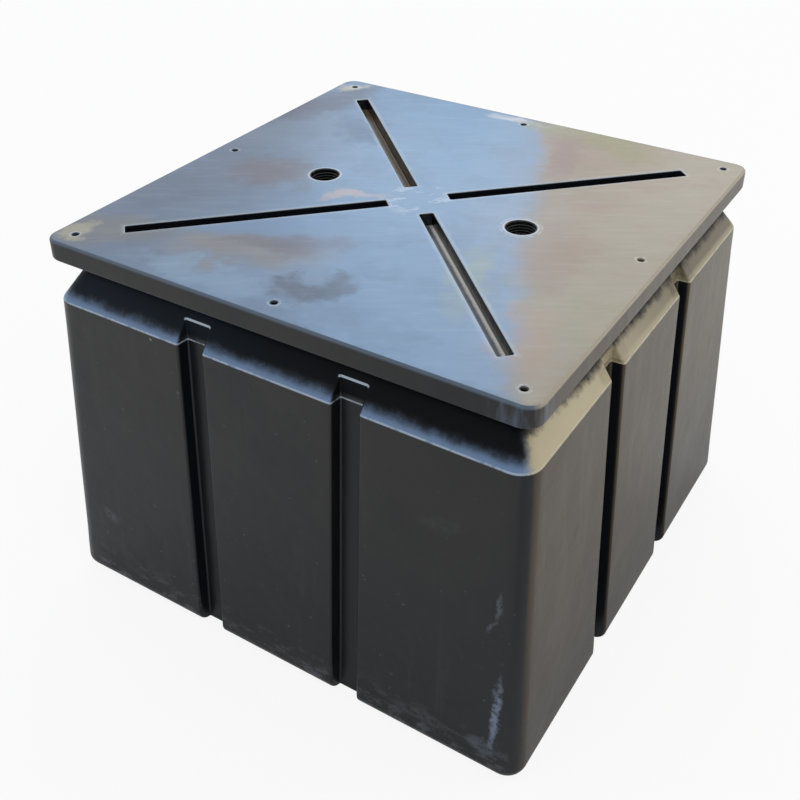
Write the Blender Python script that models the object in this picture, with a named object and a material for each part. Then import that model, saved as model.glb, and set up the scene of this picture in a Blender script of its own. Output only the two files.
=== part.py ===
"""Dock float block: one hollow, rotationally moulded polyethylene shell.

The shell is lofted up a side outline through rounded squares. The cavity is lofted up the
same outline, moved inwards by the wall, so every skin follows the outside: the walls, the
shoulder, the neck and the double deck flange. Stiffening grooves, deck channels, bolt
columns and filling sockets are pressed into the shell and thickened inside it by one wall.
"""

import math

import bmesh
import bpy
from mathutils import Matrix, Vector

# Overall sizes, in metres
BODY_SIDE = 1.000            # across the walls, at the crease under the shoulder
TOTAL_HEIGHT = 0.800
WALL = 0.007                 # thickness of every skin
WALL_DRAFT = 3.1             # degrees by which each wall leans out towards the floor

# Deck flange
DECK_OVERHANG = 0.074        # from the neck out to the edge of the deck
DECK_THICKNESS = 0.042
DECK_CORNER_RADIUS = 0.030
DECK_EDGE_RADIUS = 0.005

# Neck, ledge and shoulder under the deck
LEDGE_GAP = 0.022            # clear height between the ledge and the deck's underside
SHOULDER_RISE = 0.065
SHOULDER_RUN = 0.045
LEDGE_DEPTH = 0.029          # from the top of the shoulder in to the neck
NECK_CORNER_RADIUS = 0.020
NECK_FILLET = 0.006
LEDGE_EDGE_RADIUS = 0.038    # rounds the shoulder over into the ledge
CREASE_RADIUS = 0.008

# Body corners and floor edge
BODY_CORNER_RADIUS = 0.040
FLOOR_EDGE_RADIUS = 0.025

# Stiffening grooves in the walls, two on each side
GROOVE_OFFSET = 0.165        # from the middle of a wall to the middle of a groove
GROOVE_WIDTH = 0.056
GROOVE_DEPTH = 0.026
GROOVE_FLARE = 4.0           # degrees by which each side of a groove opens outwards

# Diagonal channels in the deck, one towards each corner
CHANNEL_WIDTH = 0.027
CHANNEL_DEPTH = 0.028
CHANNEL_START = 0.062        # from the middle of the deck, along the diagonal
CHANNEL_END_GAP = 0.089      # from the end of a channel to the corner bolt hole

# Bolt holes through the flange: four corners and four sides
BOLT_HOLE_DIAMETER = 0.013
BOLT_EDGE_DISTANCE = 0.042   # from the edge of the deck to the middle of a hole
BOLT_COLUMN_WALL = 0.011     # solid plastic round each hole

# Filling sockets, threaded for screw-in bungs
SOCKET_OFFSET = 0.223        # from the middle of the deck, along X
SOCKET_BORE = 0.057
SOCKET_COLLAR_WALL = 0.009
SOCKET_COLLAR_DEPTH = 0.040

# Facets
CORNER_STEPS = 5             # along each rounded corner in plan
HOLE_SIDES = 20
SOCKET_SIDES = 40
OVERCUT = 0.010              # how far a cutter runs past the face that it opens
SMALLEST_RADIUS = 0.0012

# Heights and half widths that follow from the sizes above
UNDERSIDE_Z = TOTAL_HEIGHT - DECK_THICKNESS
LEDGE_Z = UNDERSIDE_Z - LEDGE_GAP
CREASE_Z = LEDGE_Z - SHOULDER_RISE
CREASE_HALF = BODY_SIDE / 2
FLOOR_HALF = CREASE_HALF + CREASE_Z * math.tan(math.radians(WALL_DRAFT))
LEDGE_HALF = CREASE_HALF - SHOULDER_RUN
NECK_HALF = LEDGE_HALF - LEDGE_DEPTH
DECK_HALF = NECK_HALF + DECK_OVERHANG
BOLT_HALF = DECK_HALF - BOLT_EDGE_DISTANCE
GROOVE_TOP_Z = UNDERSIDE_Z - LEDGE_GAP / 2


def clear_scene():
    """Removes whatever the scene holds."""
    for item in list(bpy.data.objects):
        bpy.data.objects.remove(item, do_unlink=True)


def side_outline():
    """The shell's side outline, from the middle of the floor up to the middle of the deck.

    Each point is its half width, its height, the half width at which the plan corners are
    centred, the radius that rounds it and the number of steps in that rounding.
    """
    floor_centre = FLOOR_HALF - BODY_CORNER_RADIUS
    crease_centre = CREASE_HALF - BODY_CORNER_RADIUS
    ledge_centre = LEDGE_HALF - NECK_CORNER_RADIUS
    neck_centre = NECK_HALF - NECK_CORNER_RADIUS
    deck_centre = DECK_HALF - DECK_CORNER_RADIUS
    return [
        (0.0, 0.0, floor_centre, 0.0, 0),
        (FLOOR_HALF, 0.0, floor_centre, FLOOR_EDGE_RADIUS, 4),
        (CREASE_HALF, CREASE_Z, crease_centre, CREASE_RADIUS, 2),
        (LEDGE_HALF, LEDGE_Z, ledge_centre, LEDGE_EDGE_RADIUS, 5),
        (NECK_HALF, LEDGE_Z, neck_centre, NECK_FILLET, 2),
        (NECK_HALF, UNDERSIDE_Z, neck_centre, NECK_FILLET, 2),
        (DECK_HALF, UNDERSIDE_Z, deck_centre, DECK_EDGE_RADIUS, 2),
        (DECK_HALF, TOTAL_HEIGHT, deck_centre, DECK_EDGE_RADIUS, 3),
        (0.0, TOTAL_HEIGHT, deck_centre, 0.0, 0),
    ]


def meeting_point(first, first_way, second, second_way):
    """Where two lines in the plane meet, each given by a point and a direction."""
    across = first_way.x * second_way.y - first_way.y * second_way.x
    gap = second - first
    along = (gap.x * second_way.y - gap.y * second_way.x) / across
    return first + first_way * along


def moved_inwards(outline, distance):
    """The outline with every edge moved into the material by one distance."""
    points = [Vector(corner[:2]) for corner in outline]
    ways = [(after - before).normalized() for before, after in zip(points, points[1:])]
    inwards = [Vector((-way.y, way.x)) * distance for way in ways]
    last = len(outline) - 1
    moved = [(0.0, outline[0][1] + distance) + outline[0][2:]]
    for i in range(1, last):
        place = meeting_point(points[i] + inwards[i - 1], ways[i - 1],
                              points[i] + inwards[i], ways[i])
        turn = ways[i - 1].x * ways[i].y - ways[i - 1].y * ways[i].x
        change = -distance if turn > 0 else distance
        radius = max(outline[i][3] + change, SMALLEST_RADIUS)
        moved.append((place.x, place.y, outline[i][2], radius, outline[i][4]))
    moved.append((0.0, outline[last][1] - distance) + outline[last][2:])
    return moved


def rounded_outline(outline):
    """The stations of the loft: half width, height and corner centre, with arcs at the corners."""
    stations = []
    for before, corner, after in zip(outline, outline[1:], outline[2:]):
        here = Vector(corner[:3])
        way_in = Vector(before[:3]) - here
        way_out = Vector(after[:3]) - here
        flat_in = way_in.xy.normalized()
        flat_out = way_out.xy.normalized()
        half_angle = flat_in.angle(flat_out) / 2
        reach = corner[3] / math.tan(half_angle)
        start = here + way_in * (reach / way_in.xy.length)
        end = here + way_out * (reach / way_out.xy.length)
        middle = here.xy + (flat_in + flat_out).normalized() * (corner[3] / math.sin(half_angle))
        sweep = (start.xy - middle).angle_signed(end.xy - middle)
        for step in range(corner[4] + 1):
            share = step / corner[4]
            spoke = (start.xy - middle).copy()
            spoke.rotate(Matrix.Rotation(-sweep * share, 2))
            centre = start.z + (end.z - start.z) * share
            stations.append((middle.x + spoke.x, middle.y + spoke.y, centre))
    return stations


def square_ring(mesh, half, height, centre):
    """One rounded square of vertices, level, anticlockwise from above."""
    radius = max(half - centre, SMALLEST_RADIUS)
    centre = half - radius
    ring = []
    for quarter, (side_x, side_y) in enumerate([(1, 1), (-1, 1), (-1, -1), (1, -1)]):
        for step in range(CORNER_STEPS + 1):
            angle = math.radians(90) * (quarter + step / CORNER_STEPS)
            x = side_x * centre + radius * math.cos(angle)
            y = side_y * centre + radius * math.sin(angle)
            ring.append(mesh.verts.new((x, y, height)))
    return ring


def loft(mesh, rings):
    """Skins the rings from the lowest to the highest and closes both ends."""
    for low, high in zip(rings, rings[1:]):
        for i, corner in enumerate(low):
            after = (i + 1) % len(low)
            mesh.faces.new((corner, low[after], high[after], high[i]))
    mesh.faces.new(list(reversed(rings[0])))
    mesh.faces.new(rings[-1])


def new_object(name, mesh):
    """Turns a bmesh into an object of the scene."""
    data = bpy.data.meshes.new(name)
    bmesh.ops.recalc_face_normals(mesh, faces=mesh.faces)
    mesh.to_mesh(data)
    mesh.free()
    item = bpy.data.objects.new(name, data)
    bpy.context.scene.collection.objects.link(item)
    return item


def lofted_body(name, inset):
    """The float's outer form, or its cavity when it is moved inwards by a wall."""
    outline = side_outline()
    if inset:
        outline = moved_inwards(outline, inset)
    mesh = bmesh.new()
    rings = [square_ring(mesh, *station) for station in rounded_outline(outline)]
    loft(mesh, rings)
    return new_object(name, mesh)


def add_slab(mesh, low, high, place):
    """A box between two corners, put in place by a matrix."""
    size = Vector(high) - Vector(low)
    middle = (Vector(high) + Vector(low)) / 2
    form = place @ Matrix.Translation(middle) @ Matrix.Diagonal(size.to_4d())
    return bmesh.ops.create_cube(mesh, size=1.0, matrix=form)["verts"]


def groove_cutter(name, grow):
    """Eight upright wedges that press the stiffening grooves into the walls.

    Each wedge leans with the wall. Its sides open outwards by the flare. Grown by a wall, the
    wedges leave the plastic of the grooves standing in the cavity.
    """
    lean = math.tan(math.radians(WALL_DRAFT))
    flare = math.tan(math.radians(GROOVE_FLARE))
    reach = CREASE_HALF - GROOVE_DEPTH - grow
    half_width = GROOVE_WIDTH / 2 + grow
    face_depth = GROOVE_DEPTH + grow + OVERCUT
    mesh = bmesh.new()
    for side in range(4):
        for direction in (-1, 1):
            turn = Matrix.Rotation(math.radians(90) * side, 4, "Z")
            low = (-half_width, 0.0, -OVERCUT)
            high = (half_width, face_depth, GROOVE_TOP_Z)
            place = turn @ Matrix.Translation((direction * GROOVE_OFFSET, reach, 0.0))
            back = place.inverted()
            for corner in add_slab(mesh, low, high, place):
                spot = back @ corner.co
                if spot.y < face_depth / 2:
                    spot.x -= math.copysign(flare * (GROOVE_DEPTH + grow), spot.x)
                spot.y += lean * (CREASE_Z - spot.z)
                corner.co = place @ spot
    return new_object(name, mesh)


def channel_cutter(name, grow):
    """Four bars along the diagonals that press the channels into the deck."""
    bolt_reach = BOLT_HALF * math.sqrt(2)
    start = CHANNEL_START - grow
    end = bolt_reach - CHANNEL_END_GAP + grow
    half_width = CHANNEL_WIDTH / 2 + grow
    floor = TOTAL_HEIGHT - CHANNEL_DEPTH - grow
    mesh = bmesh.new()
    for corner in range(4):
        turn = Matrix.Rotation(math.radians(45 + 90 * corner), 4, "Z")
        add_slab(mesh, (start, -half_width, floor), (end, half_width, TOTAL_HEIGHT + OVERCUT), turn)
    return new_object(name, mesh)


def bolt_places():
    """The middles of the eight bolt holes: the corners and the middles of the sides."""
    steps = (-1, 0, 1)
    return [(BOLT_HALF * i, BOLT_HALF * j) for i in steps for j in steps if i or j]


def socket_places():
    """The middles of the two filling sockets."""
    return [(-SOCKET_OFFSET, 0.0), (SOCKET_OFFSET, 0.0)]


def rod_cutter(name, places, radius, bottom, top, sides):
    """Upright round bars at the places given."""
    mesh = bmesh.new()
    for x, y in places:
        middle = Matrix.Translation((x, y, (bottom + top) / 2))
        bmesh.ops.create_cone(mesh, cap_ends=True, segments=sides, radius1=radius,
                              radius2=radius, depth=top - bottom, matrix=middle)
    return new_object(name, mesh)


def cut_away(target, cutter):
    """Cuts one object out of another and keeps the cutter out of sight."""
    cut = target.modifiers.new(cutter.name, "BOOLEAN")
    cut.operation = "DIFFERENCE"
    cut.solver = "EXACT"
    cut.object = cutter
    cutter.hide_render = True
    cutter.display_type = "WIRE"


def build_cavity():
    """The hollow inside, with the plastic of every pressed-in form left standing in it."""
    cavity = lofted_body("cavity_form", WALL)
    cut_away(cavity, groove_cutter("groove_ribs", WALL))
    cut_away(cavity, channel_cutter("channel_ribs", WALL))
    column_radius = BOLT_HOLE_DIAMETER / 2 + BOLT_COLUMN_WALL
    cut_away(cavity, rod_cutter("bolt_columns", bolt_places(), column_radius,
                                UNDERSIDE_Z, TOTAL_HEIGHT, HOLE_SIDES))
    collar_radius = SOCKET_BORE / 2 + SOCKET_COLLAR_WALL
    cut_away(cavity, rod_cutter("socket_collars", socket_places(), collar_radius,
                                TOTAL_HEIGHT - SOCKET_COLLAR_DEPTH, TOTAL_HEIGHT, SOCKET_SIDES))
    return cavity


def black_polyethylene():
    """Weathered black plastic with a soft shine."""
    material = bpy.data.materials.new("black_polyethylene")
    material.use_nodes = True
    shader = material.node_tree.nodes["Principled BSDF"]
    shader.inputs["Base Color"].default_value = (0.035, 0.037, 0.040, 1.0)
    shader.inputs["Roughness"].default_value = 0.32
    shader.inputs["Metallic"].default_value = 0.0
    return material


def build_shell():
    """The float: outer form, pressed-in forms, bolt holes, cavity and filling sockets."""
    shell = lofted_body("float_shell", 0.0)
    cut_away(shell, groove_cutter("wall_grooves", 0.0))
    cut_away(shell, channel_cutter("deck_channels", 0.0))
    cut_away(shell, rod_cutter("bolt_holes", bolt_places(), BOLT_HOLE_DIAMETER / 2,
                               UNDERSIDE_Z - OVERCUT, TOTAL_HEIGHT + OVERCUT, HOLE_SIDES))
    cut_away(shell, build_cavity())
    socket_floor = TOTAL_HEIGHT - SOCKET_COLLAR_DEPTH - OVERCUT
    cut_away(shell, rod_cutter("socket_bores", socket_places(), SOCKET_BORE / 2,
                               socket_floor, TOTAL_HEIGHT + OVERCUT, SOCKET_SIDES))
    shell.data.materials.append(black_polyethylene())
    shell.data.shade_smooth()
    shell.data.set_sharp_from_angle(angle=math.radians(30))
    return shell


clear_scene()
build_shell()
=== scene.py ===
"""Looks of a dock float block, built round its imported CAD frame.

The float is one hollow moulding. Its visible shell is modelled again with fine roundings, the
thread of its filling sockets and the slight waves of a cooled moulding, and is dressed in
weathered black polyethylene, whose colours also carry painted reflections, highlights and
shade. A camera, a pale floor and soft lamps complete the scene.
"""

import logging
import math
from collections.abc import Callable, Sequence
from dataclasses import dataclass, field
from enum import Enum

import bmesh
import bpy
from bmesh.types import BMEdge, BMesh, BMFace, BMVert
from mathutils import Matrix, Vector, noise


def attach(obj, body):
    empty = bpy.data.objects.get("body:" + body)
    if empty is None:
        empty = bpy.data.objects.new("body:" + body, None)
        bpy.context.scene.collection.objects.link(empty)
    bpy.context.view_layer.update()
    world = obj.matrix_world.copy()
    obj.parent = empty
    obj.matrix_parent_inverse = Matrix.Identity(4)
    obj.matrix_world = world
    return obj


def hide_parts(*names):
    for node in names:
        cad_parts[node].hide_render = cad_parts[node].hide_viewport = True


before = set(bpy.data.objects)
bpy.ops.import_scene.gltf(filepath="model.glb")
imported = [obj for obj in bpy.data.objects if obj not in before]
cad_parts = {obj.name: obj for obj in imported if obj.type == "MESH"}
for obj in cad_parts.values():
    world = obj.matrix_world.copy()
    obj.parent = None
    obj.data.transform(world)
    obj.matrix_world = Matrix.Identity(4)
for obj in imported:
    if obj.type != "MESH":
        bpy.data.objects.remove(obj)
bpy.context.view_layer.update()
LOG = logging.getLogger("dock_float")

BODY = "root"
CAD_NODE = "float_shell"
NUMBER = "number"


class Region(Enum):
    """The parts of the shell that are dressed apart, by their place in its material list."""

    DECK = 0
    CHANNEL = 1
    SIDES = 2
    SOCKET = 3
    CHAMBER = 4


class Skin(Enum):
    """The two skins of the hollow shell."""

    OUTSIDE = "outside"
    INSIDE = "inside"


@dataclass(frozen=True)
class ShellSizes:
    """The moulding's sizes in metres, the same as the CAD part's, with the finer roundings."""

    body_side: float = 1.000
    height: float = 0.800
    wall: float = 0.007
    wall_draft: float = math.radians(3.1)
    deck_overhang: float = 0.074
    deck_thickness: float = 0.042
    deck_corner_radius: float = 0.030
    deck_edge_radius: float = 0.005
    ledge_gap: float = 0.022
    shoulder_rise: float = 0.065
    shoulder_run: float = 0.045
    ledge_depth: float = 0.029
    neck_corner_radius: float = 0.020
    neck_fillet: float = 0.006
    ledge_edge_radius: float = 0.038
    crease_radius: float = 0.008
    body_corner_radius: float = 0.040
    floor_edge_radius: float = 0.025
    groove_offset: float = 0.165
    groove_width: float = 0.056
    groove_depth: float = 0.026
    groove_flare: float = math.radians(4.0)
    groove_rim_radius: float = 0.0045
    groove_root_radius: float = 0.004
    channel_width: float = 0.027
    channel_depth: float = 0.028
    channel_start: float = 0.062
    channel_end_gap: float = 0.089
    channel_rim_radius: float = 0.0022
    channel_root_radius: float = 0.003
    channel_corner_radius: float = 0.003
    bolt_hole_diameter: float = 0.013
    bolt_edge_distance: float = 0.042
    bolt_column_wall: float = 0.011
    bolt_rim_radius: float = 0.0012
    socket_offset: float = 0.223
    socket_bore: float = 0.057
    socket_collar_wall: float = 0.009
    socket_collar_depth: float = 0.040
    socket_rim_radius: float = 0.0025

    @property
    def underside(self) -> float:
        """Height of the flange's underside."""
        return self.height - self.deck_thickness

    @property
    def ledge(self) -> float:
        """Height of the ledge round the neck."""
        return self.underside - self.ledge_gap

    @property
    def crease(self) -> float:
        """Height of the crease where the walls meet the shoulder."""
        return self.ledge - self.shoulder_rise

    @property
    def crease_half(self) -> float:
        """Half width at the crease."""
        return self.body_side / 2

    @property
    def floor_half(self) -> float:
        """Half width at the floor, where the leaning walls end."""
        return self.crease_half + self.crease * math.tan(self.wall_draft)

    @property
    def ledge_half(self) -> float:
        """Half width at the outer edge of the ledge."""
        return self.crease_half - self.shoulder_run

    @property
    def neck_half(self) -> float:
        """Half width of the neck."""
        return self.ledge_half - self.ledge_depth

    @property
    def deck_half(self) -> float:
        """Half width of the deck."""
        return self.neck_half + self.deck_overhang

    @property
    def bolt_half(self) -> float:
        """Distance of the bolt rows from the middle."""
        return self.deck_half - self.bolt_edge_distance

    @property
    def channel_end(self) -> float:
        """Distance of a channel's outer end from the middle, along its diagonal."""
        return self.bolt_half * math.sqrt(2) - self.channel_end_gap

    @property
    def groove_top(self) -> float:
        """Height at which a groove's floor comes out on the shoulder."""
        slope = self.shoulder_run / self.shoulder_rise
        return self.crease + self.groove_depth / (slope - math.tan(self.wall_draft))

    def groove_floor_half(self, height: float) -> float:
        """Half width of a groove's floor at one height."""
        lean = math.tan(self.wall_draft) * (self.crease - height)
        return self.crease_half - self.groove_depth + lean

    def bolt_places(self) -> list[Vector]:
        """The middles of the eight bolt holes, at the floor's height.

        Returns:
            The places.
        """
        steps = (-1, 0, 1)
        return [Vector((self.bolt_half * i, self.bolt_half * j, 0.0))
                for i in steps for j in steps if i or j]

    def socket_places(self) -> list[Vector]:
        """The middles of the two filling sockets, at the floor's height."""
        return [Vector((side * self.socket_offset, 0.0, 0.0)) for side in (-1, 1)]


@dataclass(frozen=True)
class ProfileCorner:
    """A corner of the shell's side outline, with the rounding it gets."""

    half: float
    height: float
    centre: float
    radius: float = 0.0
    steps: int = 1

    @property
    def flat(self) -> Vector:
        """The corner in the plane of the side outline."""
        return Vector((self.half, self.height))


@dataclass(frozen=True)
class Station:
    """One level ring of a loft: half width, height and where its plan corners are centred."""

    half: float
    height: float
    centre: float


def meeting_point(first: Vector, first_way: Vector, second: Vector, second_way: Vector) -> Vector:
    """Where two lines in the plane meet.

    Args:
        first: A point on the first line.
        first_way: The first line's direction.
        second: A point on the second line.
        second_way: The second line's direction.

    Returns:
        The point that both lines share.
    """
    across = first_way.x * second_way.y - first_way.y * second_way.x
    gap = second - first
    return first + first_way * ((gap.x * second_way.y - gap.y * second_way.x) / across)


def added(name: str, data: bpy.types.ID) -> bpy.types.Object:
    """Puts new data into the scene, as an object at the origin.

    Args:
        name: The object's name.
        data: Its mesh, lamp or camera.

    Returns:
        The object.
    """
    made = bpy.data.objects.new(name, data)
    bpy.context.scene.collection.objects.link(made)
    return made


def finished(name: str, mesh: BMesh) -> bpy.types.Object:
    """Turns a finished bmesh into a piece.

    Args:
        name: The piece's name.
        mesh: The bmesh, which is freed.

    Returns:
        The piece, at the origin.
    """
    data = bpy.data.meshes.new(name)
    mesh.to_mesh(data)
    mesh.free()
    return added(name, data)


def aim(thing: bpy.types.Object, place: Vector, back: Vector) -> None:
    """Stands a camera or lamp up.

    Args:
        thing: The camera or lamp.
        place: Where it stands.
        back: The direction out of its back.
    """
    thing.location = place
    thing.rotation_mode = "QUATERNION"
    thing.rotation_quaternion = (-back).to_track_quat("-Z", "Y")


def outline_of(mesh: BMesh, spacing: float = math.inf) -> list[Vector]:
    """Reads the outline of a bmesh that holds one face.

    Args:
        mesh: The bmesh, which is freed.
        spacing: The longest step between two points.

    Returns:
        The outline's points, in the face's own order.
    """
    for edge in list(mesh.edges):
        cuts = int(edge.calc_length() / spacing)
        if cuts:
            bmesh.ops.subdivide_edges(mesh, edges=[edge], cuts=cuts)
    mesh.faces.ensure_lookup_table()
    points = [vert.co.copy() for vert in mesh.faces[0].verts]
    mesh.free()
    return points


@dataclass(frozen=True)
class SideProfile:
    """The side outline that both skins are lofted along, from the floor up to the deck.

    Attributes:
        sizes: The moulding's sizes.
        inset: How far the skin lies inside the outer one.
        row: The longest step between two rings.
    """

    sizes: ShellSizes
    inset: float
    row: float

    def corners(self) -> list[ProfileCorner]:
        """The outer outline's corners, from the middle of the floor to the middle of the deck.

        Returns:
            The corners, from the lowest.
        """
        s = self.sizes
        crease_centre = s.crease_half - s.body_corner_radius
        floor_centre = s.floor_half - s.body_corner_radius
        ledge_centre = s.ledge_half - s.neck_corner_radius
        neck_centre = s.neck_half - s.neck_corner_radius
        deck_centre = s.deck_half - s.deck_corner_radius
        return [
            ProfileCorner(0.0, 0.0, floor_centre),
            ProfileCorner(s.floor_half, 0.0, floor_centre, s.floor_edge_radius, 8),
            ProfileCorner(s.crease_half, s.crease, crease_centre, s.crease_radius, 4),
            ProfileCorner(s.ledge_half, s.ledge, ledge_centre, s.ledge_edge_radius, 8),
            ProfileCorner(s.neck_half, s.ledge, neck_centre, s.neck_fillet, 4),
            ProfileCorner(s.neck_half, s.underside, neck_centre, s.neck_fillet, 4),
            ProfileCorner(s.deck_half, s.underside, deck_centre, s.deck_edge_radius, 4),
            ProfileCorner(s.deck_half, s.height, deck_centre, s.deck_edge_radius, 5),
            ProfileCorner(0.0, s.height, deck_centre),
        ]

    def moved(self, outline: list[ProfileCorner]) -> list[ProfileCorner]:
        """The outline with every edge moved into the plastic by the inset.

        Args:
            outline: The corners to move.

        Returns:
            The moved corners, with their roundings kept parallel.
        """
        least = 0.0012
        ways = [(after.flat - before.flat).normalized()
                for before, after in zip(outline, outline[1:])]
        steps = [Vector((-way.y, way.x)) * self.inset for way in ways]
        first, last = outline[0], outline[-1]
        moved = [ProfileCorner(0.0, first.height + self.inset, first.centre)]
        for i, corner in enumerate(outline[1:-1], start=1):
            place = meeting_point(corner.flat + steps[i - 1], ways[i - 1],
                                  corner.flat + steps[i], ways[i])
            hollow = ways[i - 1].cross(ways[i]) > 0
            radius = corner.radius + (-self.inset if hollow else self.inset)
            moved.append(ProfileCorner(place.x, place.y, corner.centre,
                                       max(radius, least), corner.steps))
        moved.append(ProfileCorner(0.0, last.height - self.inset, last.centre))
        return moved

    def arc(self, before: ProfileCorner, corner: ProfileCorner,
            after: ProfileCorner) -> list[Station]:
        """The stations along the rounding of one corner.

        Args:
            before: The corner below it on the outline.
            corner: The corner to round.
            after: The corner that follows.

        Returns:
            The stations from the start of the rounding to its end.
        """
        here = Vector((corner.half, corner.height, corner.centre))
        way_in = Vector((before.half, before.height, before.centre)) - here
        way_out = Vector((after.half, after.height, after.centre)) - here
        flat_in, flat_out = way_in.xy.normalized(), way_out.xy.normalized()
        half_angle = flat_in.angle(flat_out) / 2
        reach = corner.radius / math.tan(half_angle)
        start = here + way_in * (reach / way_in.xy.length)
        end = here + way_out * (reach / way_out.xy.length)
        centre_way = (flat_in + flat_out).normalized()
        middle = corner.flat + centre_way * (corner.radius / math.sin(half_angle))
        sweep = (start.xy - middle).angle_signed(end.xy - middle)
        stations = []
        for step in range(corner.steps + 1):
            share = step / corner.steps
            spoke = start.xy - middle
            spoke.rotate(Matrix.Rotation(-sweep * share, 2))
            centre = start.z + (end.z - start.z) * share
            stations.append(Station(middle.x + spoke.x, middle.y + spoke.y, centre))
        return stations

    def stations(self) -> tuple[list[Station], list[Station]]:
        """The rings of the body, up to under the flange, and the rings of the flange's edge.

        Returns:
            Both lists, each from its lowest ring.
        """
        outline = self.corners()
        if self.inset:
            outline = self.moved(outline)
        arcs = [self.arc(*three) for three in zip(outline, outline[1:], outline[2:])]
        below_flange = 5
        return self.spaced(arcs[:below_flange]), self.spaced(arcs[below_flange:])

    def spaced(self, arcs: list[list[Station]]) -> list[Station]:
        """One list of stations, with more rings on the straights between the roundings.

        Args:
            arcs: The stations of each rounding, in order.

        Returns:
            The stations of all roundings and of the straights between them.
        """
        rings = list(arcs[0])
        for arc in arcs[1:]:
            low, high = rings[-1], arc[0]
            length = math.hypot(high.half - low.half, high.height - low.height)
            count = max(1, math.ceil(length / self.row))
            for step in range(1, count):
                share = step / count
                rings.append(Station(low.half + (high.half - low.half) * share,
                                     low.height + (high.height - low.height) * share,
                                     low.centre + (high.centre - low.centre) * share))
            rings.extend(arc)
        return rings


@dataclass(frozen=True)
class OutlinePoint:
    """A point of a plan outline, told by where it lies so that any station can place it.

    Attributes:
        across: Unit step out of its wall, or the signs of its corner.
        angle: Its angle round a rounded corner, or None on a wall.
        along: Its place along the wall.
        share: How deep it lies in a groove, from 0 on the wall to 1 on the groove's floor.
    """

    across: Vector
    angle: float | None = None
    along: float = 0.0
    share: float = 0.0


@dataclass(frozen=True)
class PlanOutline:
    """A rounded square in plan, with or without the two grooves in each side.

    Attributes:
        sizes: The moulding's sizes.
        inset: How far its skin lies inside the outer one.
        half: Its half width where it is drawn.
        radius: Its corner radius there.
        spacing: The longest step between two points.
        corner_steps: Segments of each rounded corner.
        grooved: Whether the walls have their grooves.
    """

    sizes: ShellSizes
    inset: float
    half: float
    radius: float
    spacing: float
    corner_steps: int
    grooved: bool

    @property
    def groove_half(self) -> float:
        """Half the width of a groove at the wall."""
        return self.sizes.groove_width / 2 + self.inset

    @property
    def last_rim(self) -> float:
        """Where the outer groove's rounding ends, from the middle of the wall."""
        return self.sizes.groove_offset + self.groove_half + 2 * self.sizes.groove_rim_radius

    def points(self) -> list[OutlinePoint]:
        """The outline's points, anticlockwise from above.

        Returns:
            The points, told by wall or corner.
        """
        mesh = bmesh.new()
        corners, rims, roots = [], [], []
        depth = self.sizes.groove_depth
        narrow = self.groove_half - math.tan(self.sizes.groove_flare) * depth
        grooves = (-self.sizes.groove_offset, self.sizes.groove_offset) if self.grooved else ()
        ring = []
        for quarter in range(4):
            turn = Matrix.Rotation(math.radians(90) * quarter, 3, "Z")
            corners.append(mesh.verts.new(turn @ Vector((-self.half, -self.half, 0.0))))
            ring.append(corners[-1])
            for middle in grooves:
                spots = [(-self.groove_half, 0.0), (-narrow, depth),
                         (narrow, depth), (self.groove_half, 0.0)]
                made = [mesh.verts.new(turn @ Vector((middle + x, y - self.half, 0.0)))
                        for x, y in spots]
                rims += [made[0], made[3]]
                roots += made[1:3]
                ring += made
        mesh.faces.new(ring)
        rim_radius = self.sizes.groove_rim_radius + self.inset
        for verts, offset, steps in ((corners, self.radius, self.corner_steps),
                                     (rims, rim_radius, 4),
                                     (roots, self.sizes.groove_root_radius, 3)):
            if verts:
                bmesh.ops.bevel(mesh, geom=verts, offset=offset, offset_type="OFFSET",
                                segments=steps, profile=0.5, affect="VERTICES", material=-1)
        return [self.told(place) for place in outline_of(mesh, self.spacing)]

    def told(self, place: Vector) -> OutlinePoint:
        """Tells a place on the drawn outline by wall or corner.

        Args:
            place: A place on the outline where it is drawn.

        Returns:
            The point that a station can place.
        """
        centre = self.half - self.radius
        signs = Vector((math.copysign(1, place.x), math.copysign(1, place.y), 0.0))
        tiny = 1e-6
        if min(abs(place.x), abs(place.y)) >= centre - tiny:
            angle = math.atan2(place.y - signs.y * centre, place.x - signs.x * centre)
            return OutlinePoint(signs, angle=angle)
        if abs(place.x) > abs(place.y):
            across, along, out = Vector((signs.x, 0, 0)), place.y, abs(place.x)
        else:
            across, along, out = Vector((0, signs.y, 0)), place.x, abs(place.y)
        return OutlinePoint(across, along=along, share=(self.half - out) / self.sizes.groove_depth)

    def place(self, point: OutlinePoint, station: Station) -> Vector:
        """Where a point lies on one ring.

        Args:
            point: A point of this outline.
            station: The ring's station.

        Returns:
            The point's place in the frame.
        """
        if point.angle is not None:
            radius = station.half - station.centre
            return Vector((point.across.x * station.centre + radius * math.cos(point.angle),
                           point.across.y * station.centre + radius * math.sin(point.angle),
                           station.height))
        along = point.along
        if self.grooved and abs(along) > self.last_rim:
            drawn = self.half - self.radius - self.last_rim
            grown = (station.centre - self.last_rim) / drawn
            along = math.copysign(self.last_rim + (abs(along) - self.last_rim) * grown, along)
        elif not self.grooved:
            along *= station.centre / (self.half - self.radius)
        out = station.half
        if self.grooved:
            out -= point.share * self.groove_depth_at(station)
        tangent = Vector((abs(point.across.y), abs(point.across.x), 0.0))
        return point.across * out + tangent * along + Vector((0, 0, station.height))

    def groove_depth_at(self, station: Station) -> float:
        """How deep the grooves are on one ring, running out softly on floor edge and shoulder.

        Args:
            station: The ring's station.

        Returns:
            The depth at the ring's height.
        """
        softness = 0.004
        depth = station.half - (self.sizes.groove_floor_half(station.height) - self.inset)
        return (depth + math.hypot(depth, softness)) / 2


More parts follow.
